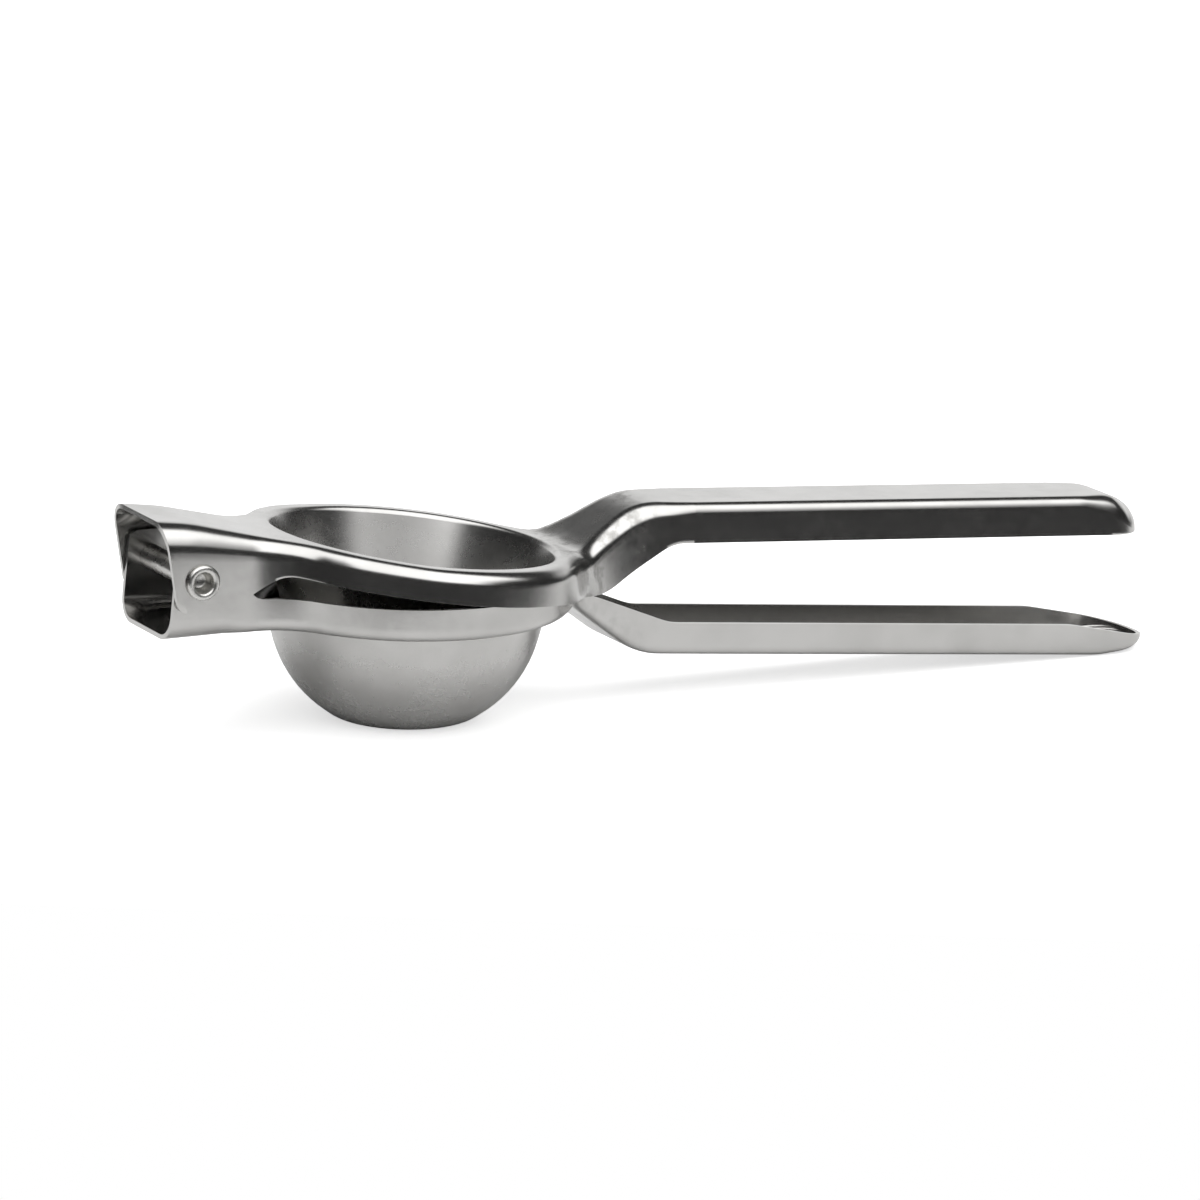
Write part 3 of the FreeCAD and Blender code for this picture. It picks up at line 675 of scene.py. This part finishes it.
def satin_sheet(name, finish, marks_from, marks_to, stain, bowl_x, mouth):
    """Satin stainless sheet, deep drawn in a press and tumbled.

    Rolling leaves fine lines along the sheet and drawing leaves them down the bowl's
    wall, where the gloss is lower. Between marks_from and marks_to the press has rubbed
    dull blots, as strong as stain, and tumbling leaves a soft, slightly uneven gloss.
    """
    material, tree = new_material(name)
    place = node(tree, "ShaderNodeTexCoord").outputs["Object"]
    axes = node(tree, "ShaderNodeSeparateXYZ", {0: place}).outputs
    ahead = worked(tree, "SUBTRACT", axes["X"], bowl_x)
    turn = worked(tree, "ARCTAN2", axes["Y"], ahead)
    round_way = worked(tree, "MULTIPLY", turn, mouth)
    short_height = worked(tree, "MULTIPLY", axes["Z"], 0.08)
    down_wall = node(tree, "ShaderNodeCombineXYZ", {"X": round_way, "Y": short_height}).outputs[0]
    along_sheet = node(tree, "ShaderNodeMapping", {"Vector": place, "Scale": (0.12, 1, 1)}).outputs[0]
    offset = node(tree, "ShaderNodeCombineXYZ", {"X": ahead, "Y": axes["Y"]}).outputs[0]
    away = node(tree, "ShaderNodeVectorMath", {0: offset}, operation="LENGTH").outputs["Value"]
    near_bowl = ramp(tree, away, mouth + 8 * MM, mouth + 3 * MM)
    in_bowl = ramp(tree, away, mouth + 1 * MM, mouth - 2 * MM)
    flow = node(tree, "ShaderNodeMix", {0: near_bowl, 4: along_sheet, 5: down_wall},
                data_type="VECTOR").outputs[1]
    lines = noise(tree, flow, 0.7 * MM, 3.0, 0.6)

    blots = noise(tree, place, 4.5 * MM, 5.0, 0.65)
    entry = ramp(tree, axes["X"], marks_from - 5 * MM, marks_from, kind="SMOOTHSTEP")
    leaving = ramp(tree, axes["X"], marks_to, marks_to + 6 * MM, 1.0, 0.0, kind="SMOOTHSTEP")
    mottle = ramp(tree, blots, 0.46, 0.62, 0.0, stain)
    marks = worked(tree, "MULTIPLY", worked(tree, "MULTIPLY", entry, leaving), mottle)
    cloudy = ramp(tree, noise(tree, place, 14 * MM, 4.0, 0.6), 0.4, 0.75, 0.0, 0.35)
    wear = worked(tree, "MAXIMUM", cloudy, marks)
    shade = node(tree, "ShaderNodeMix", {0: wear, 6: rgba(finish.steel), 7: rgba(finish.steel_dull)},
                 data_type="RGBA").outputs[2]

    speck = noise(tree, place, 1.6 * MM, 3.0, 0.7)
    tumbled = ramp(tree, speck, 0.3, 0.7, finish.rough - 0.015, finish.rough + 0.02)
    rubbed = worked(tree, "MULTIPLY_ADD", wear, 0.10, tumbled)
    rough = worked(tree, "MULTIPLY_ADD", in_bowl, 0.08, rubbed)
    relief = worked(tree, "MULTIPLY_ADD", lines, 0.6, blots)
    bump = node(tree, "ShaderNodeBump", {"Height": relief, "Strength": 0.16,
                "Distance": 0.02 * MM}).outputs[0]
    shader = node(tree, "ShaderNodeBsdfPrincipled", {
        "Base Color": shade, "Roughness": rough, "Normal": bump, "Metallic": 1.0})
    node(tree, "ShaderNodeOutputMaterial", {0: shader.outputs[0]})
    return material


def rolled_wire(name, finish):
    """Bright stainless rivet wire, headed cold: fairly glossy, with a fine uneven grain."""
    material, tree = new_material(name)
    place = node(tree, "ShaderNodeTexCoord").outputs["Object"]
    grain = noise(tree, place, 0.9 * MM, 3.0, 0.6)
    rough = ramp(tree, grain, 0.3, 0.7, 0.24, 0.36)
    bump = node(tree, "ShaderNodeBump", {"Height": grain, "Strength": 0.2, "Distance": 0.02 * MM}).outputs[0]
    shader = node(tree, "ShaderNodeBsdfPrincipled", {
        "Base Color": rgba(finish.rivet), "Roughness": rough, "Normal": bump, "Metallic": 1.0})
    node(tree, "ShaderNodeOutputMaterial", {0: shader.outputs[0]})
    return material


def lower_paths(size):
    """Underside and trimmed edge of the lower arm, as cornered side outlines."""
    back = PIN[0] - size.end_back
    slope_end = size.slope_start + size.slope_run
    droop = math.tan(size.droop)
    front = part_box("lower_arm")[1][0]
    skirt_top = size.plate + size.skirt
    fall = size.end_drop / (back + size.rim)
    ear_top = PIN[2] + size.ear_rise
    ear_back = back + size.end_lean
    taper = front - size.tip_taper
    neck = size.rim + 0.9 * MM
    skin = [(back - RUN_OUT, size.plate - size.end_drop + RUN_OUT * fall, 0),
            (-size.rim, size.plate, 200 * MM),
            (size.slope_start, size.plate, size.slope_round),
            (slope_end, (size.touch - slope_end) * droop, size.foot_round),
            (size.touch, 0, 20 * MM),
            (front + RUN_OUT, size.tip_rise * (1 + RUN_OUT / (front - size.touch)), 0)]
    edge = [(back, size.plate - size.end_drop, 0), (ear_back, ear_top, size.ear_corner),
            (PIN[0] + size.ear_front, ear_top, size.ear_corner),
            (PIN[0] + size.ear_foot, skirt_top, size.ear_corner),
            (neck - size.skirt - 1.8 * MM, skirt_top, size.skirt),
            (neck + 0.9 * MM, size.neck_cut, size.skirt),
            (size.heel, (size.touch - size.heel) * droop + size.grip_wall, 0.7 * size.foot_round),
            (taper, (size.touch - taper) * droop + size.grip_wall, size.tip_taper),
            (front + 1 * MM, size.tip_rise + size.tip_wall, 0)]
    return skin, edge, back, front


def upper_paths(size):
    """Top and trimmed edge of the upper arm before it is tilted, as cornered side outlines from the pin."""
    neck = size.bowl_ahead - size.rim
    rise = math.tan(size.grip_rise)
    slope_end = size.slope_start + size.slope_run
    grip_top = size.plate + size.grip_lift
    nose = size.reach - size.nose_run
    nose_top = grip_top + (nose - slope_end) * rise
    skirt = size.plate - size.skirt
    heel, past = size.heel, size.reach + 1 * MM
    edge_z = grip_top + (heel - slope_end) * rise - size.grip_wall
    end_top = size.plate + size.end_rise
    climb = (end_top - size.hump_height) / (size.end_back - size.hump)
    shoulder_round, brow_round, hump_round = 90 * MM, 60 * MM, 40 * MM
    skin = [(size.reach + RUN_OUT, nose_top - size.nose_drop * (1 + RUN_OUT / size.nose_run), 0),
            (nose, nose_top, size.nose_round), (slope_end, grip_top, size.crest_round),
            (size.slope_start, size.plate, size.slope_round),
            (neck + size.shoulder, size.plate, shoulder_round),
            (neck - 1 * MM, size.plate + size.brow_rise, brow_round),
            (-size.hump, size.hump_height, hump_round),
            (-size.end_back - RUN_OUT, end_top + RUN_OUT * climb, 0)]
    end_edge = end_top - 0.9 * MM
    edge = [(-size.end_back, end_edge, 0), (-size.end_back + size.end_lean, -size.ear_drop, size.ear_corner),
            (size.ear_front, size.ear_rise - size.ear_drop, size.ear_corner),
            (size.ear_foot, skirt + size.gap_rise, size.skirt),
            (size.bowl_ahead + size.rim / 2, skirt, size.rim),
            (size.saddle, skirt - size.neck_drop - 0.2 * MM, 10 * MM),
            (heel, edge_z, 9 * MM), (past, edge_z + (past - heel) * rise, 0)]
    return skin, edge, -size.end_back


class SQUEEZER_OT_lower_arm(bpy.types.Operator):
    """Lower arm: inner hinge ears, strainer bowl with its juice holes, and handle channel"""
    bl_idname = "squeezer.lower_arm"
    bl_label = "Build lower arm"

    def execute(self, context):
        tool = context.scene.squeezer
        size, sheet, bowls = tool.lower, tool.sheet, tool.bowls
        skin_path, edge_path, back, front = lower_paths(size)
        skin = height_along(skin_path)
        corners = bowl_corners(bowls.strainer_mouth, size.plate, bowls.strainer_draft, bowls.strainer_start,
                               bowls.strainer_foot, bowls.strainer_belly_round, bowls.strainer_foot_round,
                               bowls.strainer_draw, bowls.strainer_mouth + 2 * sheet.flange)
        grip_start = 60 * MM
        plan = half_outline(0, size, back, front, sheet, grip_start)
        hinge, rim, grip = sheet.hinge_round, sheet.rim_round, sheet.grip_round
        bends = ((back, hinge), (back + 12 * MM, 0.8 * hinge), (plan[2][0], rim), (20 * MM, rim),
                 (grip_start, grip))
        lean = size.end_lean / (PIN[2] + size.ear_rise - size.plate + size.end_drop)
        grid = arm_grid(plan, skin, edge_path, tuple(zip(*bends)), size.draft, 1, (back, lean),
                        fine_profile(corners), 0)
        piece = mesh_object("strainer_arm_pressing", *mirrored(*grid))
        face_out(piece)
        finish_sheet(piece, sheet)
        rings = ((bowls.inner_count, bowls.inner_ring), (bowls.outer_count, bowls.outer_ring))
        holes = [(ring, 2 * math.pi * number / count) for count, ring in rings for number in range(count)]
        places = [(ring * math.cos(turn), ring * math.sin(turn), 0) for ring, turn in holes]
        cutters = pins_along("Z", bowls.hole, 3 * MM, 40, places)
        cutters += pins_along("Y", tool.rivet.hole, 20 * MM, 48, [PIN])
        cut_holes(piece, cutters)
        round_edges(piece, sheet.edge_round, 2)
        piece.data.materials.append(satin_sheet("Satin stainless sheet, lower pressing", tool.finish,
                                                size.slope_start, size.slope_start + size.slope_run, 0.25,
                                                0, bowls.strainer_mouth))
        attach(piece, "strainer_side")
        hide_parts("lower_arm")
        return {"FINISHED"}


class SQUEEZER_OT_upper_arm(bpy.types.Operator):
    """Upper arm: outer hinge ears, press bowl, step and handle channel"""
    bl_idname = "squeezer.upper_arm"
    bl_label = "Build upper arm"

    def execute(self, context):
        tool = context.scene.squeezer
        size, sheet, bowls = tool.upper, tool.sheet, tool.bowls
        skin_path, edge_path, back = upper_paths(size)
        skin = height_along(skin_path)
        under = bowl_corners(bowls.press_mouth, bowls.press_depth - sheet.thickness, bowls.press_draft,
                             bowls.press_start, bowls.press_foot, bowls.press_belly_round,
                             bowls.press_foot_round, bowls.press_draw, bowls.press_mouth + sheet.flange)
        profile = fine_profile(shifted(under, sheet.thickness))
        profile[:, 1] += size.plate - bowls.press_depth
        profile[0, 0] = 0
        grip_start = 104 * MM
        plan = half_outline(size.bowl_ahead, size, back, size.reach, sheet, grip_start)
        hinge, rim, grip = sheet.hinge_round, sheet.rim_round, sheet.grip_round
        bends = ((back, 1.1 * hinge), (-1 * MM, 1.03 * hinge), (12 * MM, 0.75 * hinge), (24 * MM, rim),
                 (72 * MM, rim), (86 * MM, size.slope_bend), (92 * MM, size.crest_bend), (grip_start, grip),
                 (size.reach - 2 * size.nose_run, grip), (size.reach, size.nose_bend))
        lean = size.end_lean / (size.plate + size.end_rise + size.ear_drop)
        grid = arm_grid(plan, skin, edge_path, tuple(zip(*bends)), size.draft, -1, (back, lean),
                        profile, size.bowl_ahead)
        points, quads, fan = mirrored(*grid)
        piece = mesh_object("press_arm_pressing", turned_about(points, size.closed_tilt, PIN), quads, fan)
        face_out(piece)
        finish_sheet(piece, sheet)
        cut_holes(piece, pins_along("Y", tool.rivet.hole, 20 * MM, 48, [PIN]))
        round_edges(piece, sheet.edge_round, 2)
        slope = PIN[0] + size.slope_start
        piece.data.materials.append(satin_sheet("Satin stainless sheet, upper pressing", tool.finish,
                                                slope - 2 * MM, slope + size.slope_run + 2 * MM, 0.85,
                                                PIN[0] + size.bowl_ahead, bowls.press_mouth))
        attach(piece, "press_side")
        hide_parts("upper_arm")
        return {"FINISHED"}


class SQUEEZER_OT_rivet(bpy.types.Operator):
    """Semi-tubular rivet: rolled ring on the near side, low domed head on the far side"""
    bl_idname = "squeezer.rivet"
    bl_label = "Build hinge rivet"

    def execute(self, context):
        tool = context.scene.squeezer
        size = tool.rivet
        crown = size.seat + size.height
        mouth = size.head - 2 * size.ring
        floor = crown - size.recess_depth
        rolled = size.ring * 0.97
        profile = rounded_path([
            (0, -crown, 0), (size.head - size.height / 2, -crown + size.height / 4, size.height * 1.2),
            (size.head, -size.seat, 0.1 * MM), (size.shank, -size.seat, 0), (size.shank, size.seat, 0),
            (size.head, size.seat, 0.12 * MM), (size.head, crown, rolled), (mouth, crown, rolled),
            (size.recess, floor, 0.4 * MM), (0, floor - size.recess / 3, 0)], math.radians(9))
        piece = lathe("hinge_rivet_wire", profile, 96,
                      lambda points: points[:, (0, 2, 1)] * (1, -1, 1) + np.asarray(PIN))
        face_out(piece)
        piece.data.polygons.foreach_set("use_smooth", np.ones(len(piece.data.polygons), bool))
        piece.data.set_sharp_from_angle(angle=math.radians(40))
        piece.data.materials.append(rolled_wire("Bright stainless rivet wire", tool.finish))
        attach(piece, "strainer_side")
        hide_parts("hinge_rivet")
        return {"FINISHED"}


class SQUEEZER_OT_stage(bpy.types.Operator):
    """Pale floor, soft studio light and the camera"""
    bl_idname = "squeezer.stage"
    bl_label = "Set up the stage"

    def execute(self, context):
        stage = context.scene.squeezer.stage
        floor_under(stage)
        room_light(stage)
        above_table, table_middle, lamp_side = (0.05, 0.1, 1.0), (0.05, 0.0, 0.0), 1.2
        fill = softbox("Fill over the table", above_table, table_middle, lamp_side, stage.fill)
        fill.visible_glossy = False
        look_from(stage)
        return {"FINISHED"}


def floor_under(stage):
    """A flat pale table top under the tool, square to the camera.

    Its front edge lies just below the picture, so that walls which face slightly
    upwards mirror the dark room beyond it, and it reaches far enough back to fill
    the picture.
    """
    ahead = np.array([-math.sin(stage.azimuth), math.cos(stage.azimuth)])
    across = np.array([ahead[1], -ahead[0]])
    near_half, far_half, depth = 0.24, 0.9, 2.4
    corners = np.array([[-near_half, -stage.front], [near_half, -stage.front],
                        [far_half, depth], [-far_half, depth]])
    flat = corners[:, :1] * across + corners[:, 1:] * ahead + np.array(stage.aim[:2])
    points = np.column_stack([flat, np.zeros(4)])
    floor = mesh_object("table_top", points, np.array([[0, 1, 2, 3]]), np.zeros((0, 3), int))
    material, tree = new_material("Backlit white acrylic")
    place = node(tree, "ShaderNodeTexCoord").outputs["Object"]
    rough = ramp(tree, noise(tree, place, 3 * MM, 2.0, 0.5), 0.0, 1.0, 0.6, 0.7)
    shader = node(tree, "ShaderNodeBsdfPrincipled", {
        "Base Color": rgba(stage.floor), "Roughness": rough, "Specular IOR Level": 0.2})
    seen = node(tree, "ShaderNodeLightPath").outputs["Is Camera Ray"]
    strength = worked(tree, "MULTIPLY", seen, stage.floor_glow)
    glow = node(tree, "ShaderNodeEmission", {"Color": rgba(stage.floor), "Strength": strength})
    both = node(tree, "ShaderNodeAddShader", {0: shader.outputs[0], 1: glow.outputs[0]})
    node(tree, "ShaderNodeOutputMaterial", {0: both.outputs[0]})
    floor.data.materials.append(material)


def room_light(stage):
    """A dark room with a white backdrop behind the table and a wide soft box overhead.

    Rise is the angle of a direction above the horizon ahead of the camera, so that
    each light is a band of rise that ends at its own width to the side. The camera
    itself sees plain white.
    """
    world = bpy.data.worlds.new("Photo studio")
    bpy.context.scene.world = world
    world.use_nodes = True
    tree = world.node_tree
    tree.nodes.clear()
    way = node(tree, "ShaderNodeTexCoord").outputs["Generated"]
    ahead = (-math.sin(stage.azimuth), math.cos(stage.azimuth), 0)
    aside = (math.cos(stage.azimuth), math.sin(stage.azimuth), 0)
    forward, sideways = (
        node(tree, "ShaderNodeVectorMath", {0: way, 1: axis}, operation="DOT_PRODUCT").outputs["Value"]
        for axis in (ahead, aside))
    apart = worked(tree, "ABSOLUTE", sideways)
    height = node(tree, "ShaderNodeSeparateXYZ", {0: way}).outputs["Z"]
    rise = worked(tree, "ARCTAN2", height, forward)

    def band(value, low, high, soft, strength):
        """Strength where a value lies between two limits, fading over a soft width at both."""
        enter = ramp(tree, value, low - soft, low + soft, 0.0, strength, "SMOOTHSTEP")
        leave = ramp(tree, value, high - soft, high + soft, 1.0, 0.0, "SMOOTHSTEP")
        return worked(tree, "MULTIPLY", enter, leave)

    def rise_band(low, high, soft, strength):
        """A band of rise, in degrees."""
        return band(rise, math.radians(low), math.radians(high), math.radians(soft), strength)

    dim = 0.03
    backdrop = worked(tree, "MULTIPLY", rise_band(-30, 27, 7, 0.96), band(apart, -1.0, 0.70, 0.14, 1.0))
    overhead_width = band(sideways, -0.5, 0.78, 0.12, 1.0)
    lights = worked(tree, "MULTIPLY_ADD", rise_band(69, 149, 6, 1.9), overhead_width, backdrop)
    level = worked(tree, "ADD", lights, dim)
    seen = node(tree, "ShaderNodeLightPath").outputs["Is Camera Ray"]
    room = node(tree, "ShaderNodeBackground", {"Color": (1, 1, 1, 1), "Strength": level})
    white = node(tree, "ShaderNodeBackground", {"Color": (1, 1, 1, 1), "Strength": 1.0})
    both = node(tree, "ShaderNodeMixShader", {0: seen, 1: room.outputs[0], 2: white.outputs[0]})
    node(tree, "ShaderNodeOutputWorld", {0: both.outputs[0]})


def softbox(name, place, aim, side, watts):
    """A square soft light at a place, turned to shine on an aim point."""
    light = bpy.data.lights.new(name, "AREA")
    light.shape, light.size, light.energy = "SQUARE", side, watts
    lamp = bpy.data.objects.new(name, light)
    lamp.location = place
    lamp.rotation_mode = "QUATERNION"
    lamp.rotation_quaternion = (Vector(aim) - Vector(place)).to_track_quat("-Z", "Y")
    bpy.context.collection.objects.link(lamp)
    return lamp


def look_from(stage):
    """The camera at the photograph's angle: its line of sight, its roll about it, and its distance."""
    data = bpy.data.cameras.new("Product camera")
    data.lens, data.sensor_width = stage.focal, 36
    data.clip_start, data.clip_end = 0.05, 20
    camera = bpy.data.objects.new("Product camera", data)
    bpy.context.collection.objects.link(camera)
    across, up = stage.azimuth, stage.elevation
    ahead = Vector((-math.sin(across) * math.cos(up), math.cos(across) * math.cos(up), -math.sin(up)))
    level = Vector((math.cos(across), math.sin(across), 0))
    above = level.cross(ahead)
    right = level * math.cos(stage.roll) + above * math.sin(stage.roll)
    top = above * math.cos(stage.roll) - level * math.sin(stage.roll)
    place = Vector(stage.aim) - ahead * stage.distance
    camera.matrix_world = Matrix((
        (right.x, top.x, -ahead.x, place.x), (right.y, top.y, -ahead.y, place.y),
        (right.z, top.z, -ahead.z, place.z), (0, 0, 0, 1)))
    bpy.context.scene.camera = camera


class SqueezerSettings(bpy.types.PropertyGroup):
    """Everything that a user can change"""
    sheet: bpy.props.PointerProperty(type=SqueezerSheet, name="Sheet", description="Sizes both arms share")
    lower: bpy.props.PointerProperty(type=SqueezerLower, name="Lower arm",
                                        description="Sizes of the lower arm")
    upper: bpy.props.PointerProperty(type=SqueezerUpper, name="Upper arm",
                                        description="Sizes of the upper arm")
    bowls: bpy.props.PointerProperty(type=SqueezerBowls, name="Bowls", description="Sizes of the bowls")
    rivet: bpy.props.PointerProperty(type=SqueezerRivet, name="Rivet", description="Sizes of the rivet")
    finish: bpy.props.PointerProperty(type=SqueezerFinish, name="Finish", description="Colours and gloss")
    stage: bpy.props.PointerProperty(type=SqueezerStage, name="Stage", description="Camera, floor and light")


class SQUEEZER_PT_panel(bpy.types.Panel):
    """Lists the operators that build the squeezer, and its sizes"""
    bl_idname = "SQUEEZER_PT_panel"
    bl_label = "Lemon squeezer"
    bl_space_type = "VIEW_3D"
    bl_region_type = "UI"
    bl_category = "Squeezer"

    def draw(self, context):
        layout = self.layout
        for operator in OPERATORS:
            layout.operator(operator.bl_idname)
        settings = context.scene.squeezer
        for group in ("sheet", "lower", "upper", "bowls", "rivet", "finish", "stage"):
            box = layout.box()
            box.label(text=group.capitalize())
            values = getattr(settings, group)
            for name in values.bl_rna.properties.keys():
                if name not in ("rna_type", "name"):
                    box.prop(values, name)


OPERATORS = (SQUEEZER_OT_lower_arm, SQUEEZER_OT_upper_arm, SQUEEZER_OT_rivet, SQUEEZER_OT_stage)
CLASSES = (SqueezerSheet, SqueezerLower, SqueezerUpper, SqueezerBowls, SqueezerRivet, SqueezerFinish,
           SqueezerStage, SqueezerSettings, *OPERATORS, SQUEEZER_PT_panel)


def register():
    """Register every class and hang the settings on the scene."""
    for one in CLASSES:
        bpy.utils.register_class(one)
    bpy.types.Scene.squeezer = bpy.props.PointerProperty(type=SqueezerSettings)


def unregister():
    """Take the settings and every class away again."""
    del bpy.types.Scene.squeezer
    for one in reversed(CLASSES):
        bpy.utils.unregister_class(one)


def main():
    """Build the tool and its stage."""
    register()
    bpy.context.scene.view_settings.view_transform = "Standard"
    for operator in OPERATORS:
        group, name = operator.bl_idname.split(".")
        getattr(getattr(bpy.ops, group), name)()


if __name__ == "__main__":
    main()
